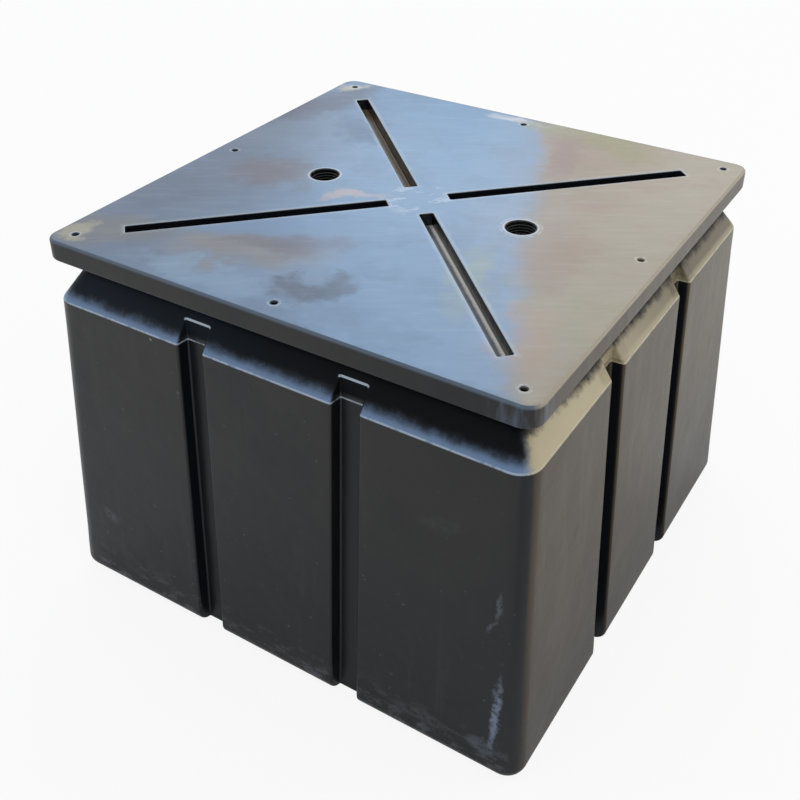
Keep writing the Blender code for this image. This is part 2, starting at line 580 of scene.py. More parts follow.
class GrowingLoop:
    """A closed loop of edges that is extruded ring by ring.

    Every vertex carries its number round the loop, so that each new ring can be placed by it.
    """

    def __init__(self, mesh: BMesh, places: Sequence[Vector]) -> None:
        """Starts the loop as a circle of vertices put on their places.

        Args:
            mesh: The mesh to build in. It has the number layer.
            places: Where the vertices lie, in order.
        """
        self.mesh = mesh
        self.key = mesh.verts.layers.int[NUMBER]
        made = bmesh.ops.create_circle(mesh, cap_ends=False, segments=len(places), radius=1.0)
        for number, (vert, place) in enumerate(zip(made["verts"], places)):
            vert.co = place
            vert[self.key] = number
        self.edges: list[BMEdge] = list({edge for vert in made["verts"]
                                         for edge in vert.link_edges})
        self.first = list(self.edges)

    def grow(self, place: Callable[[int], Vector], region: Region) -> None:
        """Extrudes the loop once.

        Args:
            place: Gives each vertex of the new ring its place, by number.
            region: What the new faces belong to.
        """
        made = bmesh.ops.extrude_edge_only(self.mesh, edges=self.edges)["geom"]
        for item in made:
            if isinstance(item, BMVert):
                item.co = place(item[self.key])
            elif isinstance(item, BMFace):
                item.material_index = region.value
        self.edges = [item for item in made if isinstance(item, BMEdge)]

    def join(self, other: "GrowingLoop", region: Region) -> None:
        """Grows the loop onto the last ring of another with as many points, and welds them.

        Args:
            other: The other loop.
            region: What the new faces belong to.
        """
        spots = {vert[self.key]: vert.co.copy() for edge in other.edges for vert in edge.verts}
        self.grow(lambda number: spots[number], region)
        seam = {vert for edge in self.edges + other.edges for vert in edge.verts}
        weld = 1e-6
        bmesh.ops.remove_doubles(self.mesh, verts=list(seam), dist=weld)

    def close(self, region: Region) -> None:
        """Closes the last ring with a face."""
        for face in bmesh.ops.edgeloop_fill(self.mesh, edges=self.edges)["faces"]:
            face.material_index = region.value


@dataclass(frozen=True)
class PressedForm:
    """A channel, socket or hole pressed into a level plate.

    Attributes:
        outline: The form's level outline, anticlockwise from above.
        top: Height of the plate.
        bottom: Height where its wall ends.
        rim_radius: Rounding at the plate.
        root_radius: Rounding at the bottom, or nothing for a through hole.
    """

    outline: Sequence[Vector]
    top: float
    bottom: float
    rim_radius: float
    root_radius: float = 0.0

    def outsteps(self) -> list[Vector]:
        """For each corner of the outline, the step that moves both its edges out by one.

        Returns:
            The steps, in the corners' order.
        """
        steps = []
        count = len(self.outline)
        least = 0.5
        for i, here in enumerate(self.outline):
            before, after = self.outline[i - 1], self.outline[(i + 1) % count]
            first, second = (here - before).normalized(), (after - here).normalized()
            way = Vector((first.y + second.y, -first.x - second.x, 0.0)).normalized()
            steps.append(way / max(way.dot(Vector((first.y, -first.x, 0.0))), least))
        return steps

    def profile(self) -> list[tuple[float, float]]:
        """The form's section as steps out of its wall and heights, from the plate down.

        Returns:
            The section's points.
        """
        turns = 4
        angles = [math.radians(90) * step / turns for step in range(turns + 1)]
        section = [(self.rim_radius * (1 - math.sin(angle)),
                    self.top - self.rim_radius * (1 - math.cos(angle))) for angle in angles]
        if not self.root_radius:
            return [*section, (0.0, self.bottom)]
        return section + [(self.root_radius * (math.cos(angle) - 1),
                           self.bottom + self.root_radius * (1 - math.sin(angle)))
                          for angle in angles]

    def press(self, mesh: BMesh, region: Region) -> GrowingLoop:
        """Builds the form, with a face that closes its bottom unless it is a through hole.

        Args:
            mesh: The mesh to build in.
            region: What its faces belong to.

        Returns:
            The loop, whose first ring lies on the plate and whose last lies at the bottom.
        """
        steps = self.outsteps()
        section = self.profile()

        def spots(level: tuple[float, float]) -> Callable[[int], Vector]:
            """The places of one ring of the section.

            Args:
                level: A point of the section.

            Returns:
                What gives each of the ring's points its place.
            """
            out, height = level
            return lambda number: (self.outline[number] + steps[number] * out
                                   + Vector((0, 0, height)))

        loop = GrowingLoop(mesh, [spots(section[0])(i) for i in range(len(self.outline))])
        for level in section[1:]:
            loop.grow(spots(level), region)
        if self.root_radius:
            loop.close(region)
        return loop


def level_circle(place: Vector, radius: float, sides: int) -> list[Vector]:
    """A circle as an outline, anticlockwise from above.

    Args:
        place: Its middle.
        radius: Its radius.
        sides: Its number of points.

    Returns:
        The points of the outline.
    """
    mesh = bmesh.new()
    bmesh.ops.create_circle(mesh, cap_ends=True, segments=sides, radius=radius,
                            matrix=Matrix.Translation(place))
    return outline_of(mesh)


def level_bar(start: float, end: float, half: float, corner: float, turn: float) -> list[Vector]:
    """A bar with rounded corners as an outline, anticlockwise from above.

    Args:
        start: Where the bar starts, from the middle.
        end: Where it ends.
        half: Half its width.
        corner: Radius of its corners.
        turn: Its angle from +X, in radians.

    Returns:
        The points of the outline.
    """
    mesh = bmesh.new()
    middle = Matrix.Translation(((start + end) / 2, 0.0, 0.0))
    size = Matrix.Diagonal((end - start, 2 * half, 1.0, 1.0))
    bmesh.ops.create_grid(mesh, x_segments=1, y_segments=1, size=0.5,
                          matrix=Matrix.Rotation(turn, 4, "Z") @ middle @ size)
    bmesh.ops.bevel(mesh, geom=mesh.verts[:], offset=corner, offset_type="OFFSET", segments=4,
                    profile=0.5, affect="VERTICES", material=-1)
    spacing = 0.03
    return outline_of(mesh, spacing)


@dataclass
class FloatShell:
    """The hollow shell: outer skin, inner skin, and the forms pressed into both.

    Attributes:
        sizes: The moulding's sizes.
        ring_spacing: Longest step round the walls of the outer skin.
        row: Longest step up the walls of the outer skin.
        rim_spacing: Longest step round the flange of the outer skin.
        inner_spacing: Longest step either way on the inner skin, which little light reaches.
        deck_cell: Width of the deck's cells.
        corner_steps: Segments of each rounded corner in plan.
        socket_sides: Sides of a filling socket.
        bolt_sides: Sides of a bolt hole.
        wave: How far the cooled walls sink at most.
        wave_scale: Waves per metre.
        wave_fade: Over what height the waves run out at the walls' ends.
    """

    sizes: ShellSizes
    ring_spacing: float = 0.014
    row: float = 0.014
    rim_spacing: float = 0.02
    inner_spacing: float = 0.06
    deck_cell: float = 0.02
    corner_steps: int = 8
    socket_sides: int = 48
    bolt_sides: int = 24
    wave: float = 0.0012
    wave_scale: float = 5.0
    wave_fade: float = 0.05
    mesh: BMesh = field(init=False)

    def build(self) -> bpy.types.Object:
        """Models the shell.

        Returns:
            The shell as an object at the origin.
        """
        self.mesh = bmesh.new()
        self.mesh.verts.layers.int.new(NUMBER)
        bores = self._skin(Skin.OUTSIDE)
        collars = self._skin(Skin.INSIDE)
        for bore, collar in zip(bores, collars):
            bore.join(collar, Region.CHAMBER)
        bmesh.ops.recalc_face_normals(self.mesh, faces=self.mesh.faces)
        self._cut_cells()
        self._settle()
        for face in self.mesh.faces:
            face.smooth = True
        piece = finished("float_skin", self.mesh)
        weights = piece.modifiers.new("even_shading", "WEIGHTED_NORMAL")
        weights.weight = 50
        weights.keep_sharp = True
        return piece

    def _skin(self, skin: Skin) -> list[GrowingLoop]:
        """Builds one skin.

        Args:
            skin: Which of the two.

        Returns:
            The loops at the lower ends of the filling sockets.
        """
        s = self.sizes
        outside = skin is Skin.OUTSIDE
        inset = 0.0 if outside else s.wall
        row, spacing, rim_spacing = ((self.row, self.ring_spacing, self.rim_spacing) if outside
                                     else (self.inner_spacing,) * 3)
        body, edge = SideProfile(s, inset, row).stations()
        walls = PlanOutline(s, inset, s.crease_half - inset, s.body_corner_radius - inset,
                            spacing, self.corner_steps, True)
        rim = PlanOutline(s, inset, s.deck_half - inset, s.deck_corner_radius - inset,
                          rim_spacing, self.corner_steps, False)
        side_region = Region.SIDES if outside else Region.CHAMBER
        body_loop = self._loft(walls, body, side_region)
        edge_loop = self._loft(rim, edge, side_region)
        for face in bmesh.ops.edgeloop_fill(self.mesh, edges=body_loop.first)["faces"]:
            face.material_index = side_region.value

        top, bottom = edge[-1].height, edge[0].height
        bolts, channels, sockets = self._press(skin, top, bottom)
        self._fill(body_loop.edges + edge_loop.first + [e for b in bolts for e in b.edges],
                   side_region)
        deck_region = Region.DECK if outside else Region.CHAMBER
        openings = [e for form in bolts + channels + sockets for e in form.first]
        self._fill(edge_loop.edges + openings, deck_region)
        return sockets

    def _loft(self, outline: PlanOutline, stations: list[Station],
              region: Region) -> GrowingLoop:
        """Grows an outline up its stations.

        Args:
            outline: The plan outline.
            stations: Its rings, from the lowest.
            region: What the faces belong to.

        Returns:
            The loop, grown to the last station.
        """
        points = outline.points()
        loop = GrowingLoop(self.mesh, [outline.place(p, stations[0]) for p in points])
        for station in stations[1:]:
            loop.grow(lambda number: outline.place(points[number], station), region)
        return loop

    def _press(self, skin: Skin, top: float, bottom: float) -> list[list[GrowingLoop]]:
        """Presses the bolt holes, the channels and the sockets into one skin.

        Args:
            skin: Which of the two. The inner one gets the columns, troughs and collars.
            top: Height of the skin's deck plate.
            bottom: Height of the skin's plate under the flange.

        Returns:
            The loops of the bolt holes, of the channels and of the sockets.
        """
        s = self.sizes
        outside = skin is Skin.OUTSIDE
        column, trough, collar = ((0.0, 0.0, 0.0) if outside
                                  else (s.bolt_column_wall, s.wall, s.socket_collar_wall))
        bolts = [level_circle(place, s.bolt_hole_diameter / 2 + column, self.bolt_sides)
                 for place in s.bolt_places()]
        bars = [level_bar(s.channel_start - trough, s.channel_end + trough,
                          s.channel_width / 2 + trough, s.channel_corner_radius + trough,
                          math.radians(45 + 90 * corner)) for corner in range(4)]
        bores = [level_circle(place, s.socket_bore / 2 + collar, self.socket_sides)
                 for place in s.socket_places()]
        kinds = (
            (bolts, bottom, s.bolt_rim_radius, 0.0, Region.SIDES),
            (bars, top - s.channel_depth, s.channel_rim_radius, s.channel_root_radius,
             Region.CHANNEL),
            (bores, s.height - s.socket_collar_depth, s.socket_rim_radius, 0.0, Region.SOCKET),
        )
        return [[PressedForm(outline, top, end, rim, root).press(
                    self.mesh, region if outside else Region.CHAMBER) for outline in outlines]
                for outlines, end, rim, root, region in kinds]

    def _fill(self, edges: list[BMEdge], region: Region) -> None:
        """Fills a level plate between closed loops.

        Args:
            edges: The loops' edges.
            region: What the plate belongs to.
        """
        made = bmesh.ops.triangle_fill(self.mesh, use_beauty=True, use_dissolve=False,
                                       edges=edges, normal=Vector((0, 0, 1)))
        for item in made["geom"]:
            if isinstance(item, BMFace):
                item.material_index = region.value

    def _cut_cells(self) -> None:
        """Cuts the deck and the floor into square cells."""
        count = int(self.sizes.floor_half / self.deck_cell)
        level, off_centre, weld = 0.999, 0.003, 1e-5
        skins = (Region.DECK.value, Region.SIDES.value)
        plate = [face for face in self.mesh.faces
                 if abs(face.normal.z) > level and face.material_index in skins]
        parts = {part for face in plate for part in (face, *face.edges, *face.verts)}
        for axis in (Vector((1, 0, 0)), Vector((0, 1, 0))):
            for step in range(-count, count + 1):
                place = axis * (step * self.deck_cell + off_centre)
                made = bmesh.ops.bisect_plane(self.mesh, geom=list(parts), dist=weld,
                                              plane_co=place, plane_no=axis)
                parts = {part for part in made["geom"] if part.is_valid}
                parts.update(part for part in made["geom_cut"] if part.is_valid)

    def _settle(self) -> None:
        """Gives the outer skin the slight waves of a moulding that has cooled and been used."""
        self.mesh.normal_update()
        for vert in self.mesh.verts:
            if any(face.material_index != Region.SIDES.value for face in vert.link_faces):
                continue
            spot = vert.co
            if spot.z > self.sizes.crease or spot.z < self.wave_fade:
                continue
            fade = min(1.0, (spot.z - self.wave_fade) / self.wave_fade,
                       (self.sizes.crease - spot.z) / self.wave_fade)
            depth = 0.5 + 0.5 * noise.noise(spot * self.wave_scale)
            vert.co -= vert.normal * (self.wave * fade * depth)


@dataclass(frozen=True)
class BungThread:
    """The internal thread of a filling socket, a coarse ridge that winds down its bore.

    Attributes:
        sizes: The moulding's sizes.
        name: The piece's name.
        place: The socket's middle, at the floor's height.
        pitch: Height of one turn.
        turns: Number of turns.
        depth: How far the ridge stands out of the bore.
        start: Distance of the first turn below the deck.
        steps: Segments of one turn.
        root: How far the ridge reaches into the bore's wall.
        root_share: Half the ridge's height at its root, as a share of the pitch.
        crest_share: The same at its crest.
    """

    sizes: ShellSizes
    name: str
    place: Vector
    pitch: float = 0.0058
    turns: int = 5
    depth: float = 0.0018
    start: float = 0.0075
    steps: int = 48
    root: float = 0.0012
    root_share: float = 0.36
    crest_share: float = 0.12

    def build(self) -> bpy.types.Object:
        """Winds the ridge down the bore.

        Returns:
            The thread as an object at the origin.
        """
        radius = self.sizes.socket_bore / 2
        top = self.sizes.height - self.start
        half, crest = self.pitch * self.root_share, self.pitch * self.crest_share
        section = [(radius + self.root, top + half), (radius - self.depth, top + crest),
                   (radius - self.depth, top - crest), (radius + self.root, top - half)]
        mesh = bmesh.new()
        verts = [mesh.verts.new(self.place + Vector((out, 0.0, height)))
                 for out, height in section]
        face = mesh.faces.new(verts)
        start = face.copy(verts=True, edges=True)
        drop = Vector((0, 0, -self.pitch / self.steps))
        bmesh.ops.spin(mesh, geom=[start, *start.edges, *start.verts], cent=self.place,
                       axis=(0, 0, 1), dvec=drop, angle=math.tau * self.turns,
                       steps=self.steps * self.turns, use_merge=False)
        weld = 1e-6
        bmesh.ops.remove_doubles(mesh, verts=mesh.verts, dist=weld)
        bmesh.ops.recalc_face_normals(mesh, faces=mesh.faces)
        for item in mesh.faces:
            item.smooth = True
        return finished(self.name, mesh)


class Signal:
    """A shader socket in a sum. Each sign on it adds a Math node to its graph."""

    def __init__(self, graph: "NodeTree", socket: bpy.types.NodeSocket) -> None:
        """Wraps a socket of the graph."""
        self.graph = graph
        self.socket = socket

    def _maths(self, operation: str, first: "Signal | float", second: "Signal | float"
               ) -> "Signal":
        """Adds one Math node and returns its value."""
        return self.graph.add("ShaderNodeMath", {"operation": operation}, {0: first, 1: second})

    def __add__(self, other: "Signal | float") -> "Signal":
        """The sum of both."""
        return self._maths("ADD", self, other)

    __radd__ = __add__

    def __sub__(self, other: "Signal | float") -> "Signal":
        """This less the other."""
        return self._maths("SUBTRACT", self, other)

    def __rsub__(self, other: "Signal | float") -> "Signal":
        """The other less this."""
        return self._maths("SUBTRACT", other, self)

    def __mul__(self, other: "Signal | float") -> "Signal":
        """The product of both."""
        return self._maths("MULTIPLY", self, other)

    __rmul__ = __mul__

    def __abs__(self) -> "Signal":
        """The value without its sign."""
        return self._maths("ABSOLUTE", self, 0.0)

    def root(self) -> "Signal":
        """The square root."""
        return self._maths("SQRT", self, 0.0)

    def most(self, other: "Signal | float") -> "Signal":
        """The larger of both."""
        return self._maths("MAXIMUM", self, other)

    def least(self, other: "Signal | float") -> "Signal":
        """The smaller of both."""
        return self._maths("MINIMUM", self, other)

    def ramp(self, low: float, high: float, start: float = 0.0, end: float = 1.0) -> "Signal":
        """Eases from one value to another.

        Args:
            low: Where the ramp starts.
            high: Where it ends; below low, the ramp falls.
            start: The value up to low.
            end: The value from high.

        Returns:
            The eased value.
        """
        if low > high:
            low, high, start, end = high, low, end, start
        return self.graph.add("ShaderNodeMapRange",
                              {"interpolation_type": "SMOOTHSTEP", "clamp": True},
                              {"Value": self, "From Min": low, "From Max": high,
                               "To Min": start, "To Max": end})

    def band(self, middle: float, half: float, soft: float) -> "Signal":
        """One inside a band of values, fading to nothing over the soft width past its edges."""
        return abs(self - middle).ramp(half + soft, half)


Colour = tuple[float, float, float, float]

# A Mix node's colour sockets go by number, because its other sockets share their names.
MIX_FIRST, MIX_SECOND, MIX_RESULT = 6, 7, 2


def seen(red: float, green: float, blue: float) -> Colour:
    """A colour given as it looks, from 0 to 255, turned into linear light.

    Args:
        red: Red as it looks.
        green: Green as it looks.
        blue: Blue as it looks.

    Returns:
        The linear colour with full alpha.
    """
    def linear(level: float) -> float:
        """One channel in linear light."""
        share = level / 255
        return share / 12.92 if share <= 0.04045 else ((share + 0.055) / 1.055) ** 2.4

    return linear(red), linear(green), linear(blue), 1.0


@dataclass(frozen=True)
class SoftPatch:
    """A soft oval mark on a face, in two of the piece's own coordinates.

    Attributes:
        across: Its middle in the first coordinate.
        up: Its middle in the second.
        long: Half its length.
        wide: Half its width.
        turn: The angle of its length from the first coordinate, in degrees.
        tint: Its colour.
        strength: How much of the colour shows in its middle.
    """

    across: float
    up: float
    long: float
    wide: float
    turn: float
    tint: Colour
    strength: float


class NodeTree:
    """A tree of shader nodes, which signals add their own nodes to."""

    def __init__(self, tree: bpy.types.NodeTree) -> None:
        """Wraps a tree."""
        self.tree = tree

    def add(self, kind: str, settings: dict[str, object], sockets: dict[int | str, object],
            output: int | str = 0) -> Signal:
        """Adds a node.

        Args:
            kind: The node's type.
            settings: Its own settings, which are made first.
            sockets: A value or a signal for each socket, by name or number.
            output: The output to return.

        Returns:
            The output as a signal.
        """
        node = self.tree.nodes.new(kind)
        for name, value in settings.items():
            setattr(node, name, value)
        for name, value in sockets.items():
            self.feed(node.inputs[name], value)
        return Signal(self, node.outputs[output])

    def feed(self, socket: bpy.types.NodeSocket, value: object) -> None:
        """Links a signal to a socket, or sets its value.

        Args:
            socket: The socket to feed.
            value: A signal or a plain value.
        """
        if isinstance(value, Signal):
            self.tree.links.new(value.socket, socket)
        else:
            socket.default_value = value

    def by_viewer(self, plain: float, shown: float, shone: float) -> Signal:
        """A value that depends on what looks at it.

        Args:
            plain: The value for light.
            shown: The value for the camera and for clear pieces.
            shone: The value for shines.

        Returns:
            The value as a signal.
        """
        value: "Signal | float" = plain
        for ray, level in (("Is Camera Ray", shown), ("Is Transmission Ray", shown),
                           ("Is Glossy Ray", shone)):
            value = value + self.add("ShaderNodeLightPath", {}, {}, ray) * (level - plain)
        return value


class NodeGraph(NodeTree):
    """The node tree of one material, round its Principled shader."""

    def __init__(self, name: str) -> None:
        """Makes a material with an empty Principled shader.

        Args:
            name: The material's name.
        """
        self.material = bpy.data.materials.new(name)
        self.material.use_nodes = True
        super().__init__(self.material.node_tree)
        self.shader = self.tree.nodes["Principled BSDF"]
        self.spot = self.add("ShaderNodeTexCoord", {}, {}, "Object")
        self.x, self.y, self.z = (self.add("ShaderNodeSeparateXYZ", {}, {0: self.spot}, axis)
                                  for axis in "XYZ")

    def noise(self, scale: float, detail: float = 3.0, roughness: float = 0.5,
              stretch: tuple[float, float, float] = (1.0, 1.0, 1.0),
              turn: float = 0.0, seed: float = 0.0) -> Signal:
        """Cloudy noise on the piece's own coordinates.

        Args:
            scale: Clouds per metre.
            detail: Number of finer layers.
            roughness: How strong the finer layers are.
            stretch: How far the pattern is drawn out along each axis.
            turn: Turn of those axes about Z, in radians.
            seed: Shifts the pattern to another part of the noise.

        Returns:
            The noise, around one half.
        """
        mapped = self.add("ShaderNodeMapping", {"vector_type": "TEXTURE"},
                          {"Vector": self.spot, "Location": (seed, seed * 0.7, seed * 0.3),
                           "Rotation": (0.0, 0.0, turn), "Scale": stretch})
        return self.add("ShaderNodeTexNoise", {"noise_dimensions": "3D"},
                        {"Vector": mapped, "Scale": scale, "Detail": detail,
                         "Roughness": roughness})

    def blend(self, factor: "Signal | float", first: object, second: object) -> Signal:
        """Mixes two colours. The factor says how much of the second shows."""
        return self.add("ShaderNodeMix", {"data_type": "RGBA", "clamp_factor": True},
                        {0: factor, MIX_FIRST: first, MIX_SECOND: second}, MIX_RESULT)

    def reach(self, across: Signal, up: Signal) -> Signal:
        """The length of a step given by its two parts."""
        return (across * across + up * up).root()

    def marked(self, colour: object, across: Signal, up: Signal,
               patches: Sequence[SoftPatch], where: "Signal | float" = 1.0) -> Signal:
        """Lays soft patches over a colour.

        Args:
            colour: The colour below.
            across: The first coordinate that the patches are given in.
            up: The second.
            patches: The patches, from the lowest.
            where: Mask of the face that they lie on.

        Returns:
            The colour with the patches.
        """
        for patch in patches:
            turn = math.radians(patch.turn)
            right, rise = across - patch.across, up - patch.up
            first = right * (math.cos(turn) / patch.long) + rise * (math.sin(turn) / patch.long)
            second = rise * (math.cos(turn) / patch.wide) - right * (math.sin(turn) / patch.wide)
            mask = (first * first + second * second).ramp(1.0, 0.0, 0.0, patch.strength)
            colour = self.blend(mask * where, colour, patch.tint)
        return colour

    def bump(self, height: Signal, distance: float) -> Signal:
        """Turns a height from 0 to 1, a range that stands for the distance, into a normal."""
        return self.add("ShaderNodeBump", {}, {"Height": height, "Distance": distance})

    def cover(self, mask: Signal, shader: Signal) -> None:
        """Covers the material's own shader with another.

        Args:
            mask: How much of the other shows, from 0 to 1.
            shader: The other shader.
        """
        own = Signal(self, self.shader.outputs["BSDF"])
        mixed = self.add("ShaderNodeMixShader", {}, {0: mask, 1: own, 2: shader})
        self.feed(self.tree.nodes["Material Output"].inputs["Surface"], mixed)

    def painted_shade(self, colour: "Signal | Colour") -> Signal:
        """A matt shader in one colour, laid on as painted shade."""
        return self.add("ShaderNodeBsdfPrincipled", {},
                        {"Base Color": colour, "Roughness": 0.55, "Specular IOR Level": 0.08})

    def finish(self, colour: Signal, roughness: Signal, normal: Signal,
               shine: float = 1.48) -> bpy.types.Material:
        """Feeds the shader.

        Args:
            colour: The base colour.
            roughness: The roughness.
            normal: The normal.
            shine: The index of refraction.

        Returns:
            The finished material.
        """
        self.feed(self.shader.inputs["Base Color"], colour)
        self.feed(self.shader.inputs["Roughness"], roughness)
        self.feed(self.shader.inputs["Normal"], normal)
        self.shader.inputs["IOR"].default_value = shine
        return self.material


@dataclass(frozen=True)
class DeckFinish:
    """Black polyethylene of the deck, hazed by weather and painted with reflections: of a blue sky
    on one side, of warm surroundings on the other.
    """

    sizes: ShellSizes
    name: str = "hazed_deck_with_painted_reflections"
    # Cool and warm colours: partly weathered haze, partly painted reflection of a blue sky on the
    # left and of warm surroundings on the right.
    cool_dark: Colour = seen(98, 118, 145)
    cool: Colour = seen(114, 140, 172)
    cool_back: Colour = seen(90, 130, 170)
    warm: Colour = seen(134, 120, 106)
    warm_light: Colour = seen(147, 140, 126)
    rosy: Colour = seen(144, 118, 112)
    olive: Colour = seen(138, 139, 110)
    lip: Colour = seen(196, 206, 216)
    scratch: Colour = seen(76, 90, 110)
    # Soft patches of painted reflection over the haze: bluer and darker reflected areas, tinted
    # glare and pale glints near the corners.
    patches: tuple[SoftPatch, ...] = (
        SoftPatch(-0.21, -0.23, 0.24, 0.045, 45.0, seen(110, 141, 178), 0.8),
        SoftPatch(-0.16, -0.45, 0.20, 0.04, 6.0, seen(128, 158, 186), 0.7),
        SoftPatch(-0.16, -0.35, 0.20, 0.09, 14.0, seen(128, 130, 136), 1.0),
        SoftPatch(-0.10, -0.28, 0.15, 0.07, 30.0, seen(104, 100, 114), 0.7),
        SoftPatch(0.025, -0.385, 0.085, 0.040, 35.0, seen(72, 78, 94), 0.85),
        SoftPatch(-0.43, -0.42, 0.15, 0.07, 20.0, seen(116, 120, 124), 0.8),
        SoftPatch(-0.49, -0.45, 0.04, 0.03, 30.0, seen(172, 168, 150), 0.8),
        SoftPatch(-0.32, -0.03, 0.14, 0.08, 20.0, seen(104, 100, 114), 0.85),
        SoftPatch(-0.29, 0.23, 0.13, 0.06, 130.0, seen(46, 66, 102), 0.7),
        SoftPatch(-0.45, 0.32, 0.22, 0.09, 70.0, seen(58, 56, 80), 0.9),
        SoftPatch(-0.11, -0.045, 0.09, 0.03, 38.0, seen(180, 158, 152), 0.8),
        SoftPatch(-0.45, 0.44, 0.06, 0.03, 40.0, seen(196, 184, 168), 0.85),
        SoftPatch(-0.03, 0.46, 0.10, 0.03, 0.0, seen(202, 198, 206), 0.8),
        SoftPatch(0.17, 0.44, 0.22, 0.06, -3.0, seen(122, 120, 74), 0.8),
        SoftPatch(0.17, 0.31, 0.14, 0.065, 112.0, seen(118, 82, 82), 0.7),
        SoftPatch(0.33, -0.07, 0.15, 0.08, 105.0, seen(138, 112, 106), 0.5),
        SoftPatch(0.24, -0.21, 0.16, 0.05, 112.0, seen(138, 150, 138), 0.7),
        SoftPatch(0.42, -0.35, 0.16, 0.07, 115.0, seen(158, 130, 106), 0.6),
    )

    def make(self) -> bpy.types.Material:
        """Builds the material.

        Returns:
            The material.
        """
        g = NodeGraph(self.name)
        drift = g.noise(3.0, 4.0, 0.55, seed=3.1) - 0.5
        # Haze with painted reflections of the sky and of warm surroundings.
        haze_and_reflection = self._haze_and_reflections(g, drift)
        streaks = g.noise(70.0, 3.0, 0.6, stretch=(7.0, 1.0, 1.0), turn=0.56, seed=1.7)
        haze_and_reflection = g.blend(streaks.ramp(0.5, 0.75, 0.0, 0.09), haze_and_reflection, self.scratch)
        haze_and_reflection = g.blend(streaks.ramp(0.5, 0.28, 0.0, 0.06), haze_and_reflection, self.lip)
        scuffs = g.noise(34.0, 5.0, 0.7, stretch=(2.2, 1.0, 1.0), turn=0.9, seed=9.6)
        scuffs = scuffs.ramp(0.53, 0.60, 0.0, 0.5) * g.reach(g.x, g.y).ramp(0.085, 0.045)
        haze_and_reflection = g.blend(scuffs, haze_and_reflection, self.lip)
        haze_and_reflection = self._lips_wear_and_highlight(g, haze_and_reflection)
        specks = g.noise(220.0, 2.0, 0.7, seed=4.4).ramp(0.73, 0.80, 0.0, 0.5)
        colour = g.blend(specks, haze_and_reflection, self.scratch)
        rough = 0.20 + g.noise(130.0, 3.0, 0.6, seed=5.5) * 0.08 + drift * 0.12
        dents = g.noise(3.6, 2.0, 0.4, seed=2.2) + g.noise(11.0, 2.0, 0.5, seed=7.2) * 0.12
        fine = g.noise(90.0, 3.0, 0.6, seed=8.2)
        return g.finish(colour, rough, g.bump(dents + fine * 0.012, 0.006))

    def _haze_and_reflections(self, g: NodeGraph, drift: Signal) -> Signal:
        """The haze and the painted reflections: the cool side, painted as reflecting a blue sky,
        the warm side, painted as reflecting warm surroundings, and the patches on them.

        Args:
            g: The material's graph.
            drift: Slow noise round zero that its edges follow.

        Returns:
            The colour of the haze and the painted reflections.
        """
        edge = 0.245
        fray = g.noise(22.0, 4.0, 0.65, seed=6.3) - 0.5
        swirl = g.noise(8.0, 4.0, 0.6, seed=2.8) - 0.5
        curl = g.noise(7.0, 4.0, 0.6, seed=5.2) - 0.5
        # Where the painted warm reflection takes over from the painted sky reflection.
        warmth = (g.x + g.y * 0.42 + drift * 0.13 + swirl * 0.07 + fray * 0.03 - edge)
        warmth = warmth.ramp(-0.035, 0.04)
        across = g.x + drift * 0.08 + swirl * 0.20 + fray * 0.04
        up = g.y - drift * 0.08 + curl * 0.20 + fray * 0.03
        cool = g.blend(across.ramp(-0.42, -0.16), self.cool_dark, self.cool)
        cool = g.blend((across * 0.4 + up).ramp(0.05, 0.4), cool, self.cool_back)
        warm = g.blend(across.ramp(0.2, 0.42), self.warm, self.warm_light)
        # Rosy and olive mottles on the warm side: painted reflection tints.
        mottle = g.noise(6.5, 4.0, 0.6, seed=1.4)
        warm = g.blend(mottle.ramp(0.52, 0.68, 0.0, 0.55), warm, self.rosy)
        warm = g.blend(mottle.ramp(0.46, 0.32, 0.0, 0.45), warm, self.olive)
        cool = g.blend(mottle.ramp(0.50, 0.36, 0.0, 0.22), cool, self.scratch)
        return g.marked(g.blend(warmth, cool, warm), across, up, self.patches)

    def _lips_wear_and_highlight(self, g: NodeGraph, haze_and_reflection: Signal) -> Signal:
        """Pale lips round the bolt holes, the sockets and the channels, partly worn plastic and
        partly painted highlight on their rounded rims.

        Args:
            g: The material's graph.
            haze_and_reflection: The haze and painted reflections below them.

        Returns:
            The haze and painted reflections with the lips.
        """
        s = self.sizes
        side_x, side_y = abs(g.x), abs(g.y)
        bolt = g.reach(side_x - s.bolt_half, side_y - s.bolt_half)
        bolt = bolt.least(g.reach(side_x - s.bolt_half, g.y))
        bolt = bolt.least(g.reach(g.x, side_y - s.bolt_half))
        ragged = g.noise(150.0, 3.0, 0.6, seed=2.9).ramp(0.38, 0.58)
        ring = bolt.band(s.bolt_hole_diameter * 0.78, 0.0012, 0.002) * ragged * 0.38
        socket = g.reach(side_x - s.socket_offset, g.y)
        rim = socket.band(s.socket_bore / 2 + 0.004, 0.001, 0.003) * 0.6
        second = socket.band(s.socket_bore / 2 + 0.011, 0.0008, 0.0018) * ragged
        second = second * g.x.ramp(0.0, 0.1) * 0.35
        turned = math.sqrt(0.5)
        first, other = (g.x + g.y) * turned, (g.x - g.y) * turned
        bars = []
        for along, aside in ((first, other), (other, first)):
            span = abs(along)
            bar = (abs(aside) - s.channel_width / 2).most(span - s.channel_end)
            bars.append(bar.most(s.channel_start - span))
        gap = bars[0].least(bars[1])
        halo = gap.ramp(0.012, 0.002, 0.0, 0.30) * g.noise(9.0, 3.0, 0.6, seed=8.8).ramp(0.3, 0.6)
        lip = gap.ramp(0.0042, 0.0022, 0.0, 0.45)
        # Lips: partly worn plastic, partly painted highlight.
        wear_and_highlight = ring.most(rim).most(second).most(halo).most(lip)
        return g.blend(wear_and_highlight, haze_and_reflection, self.lip)


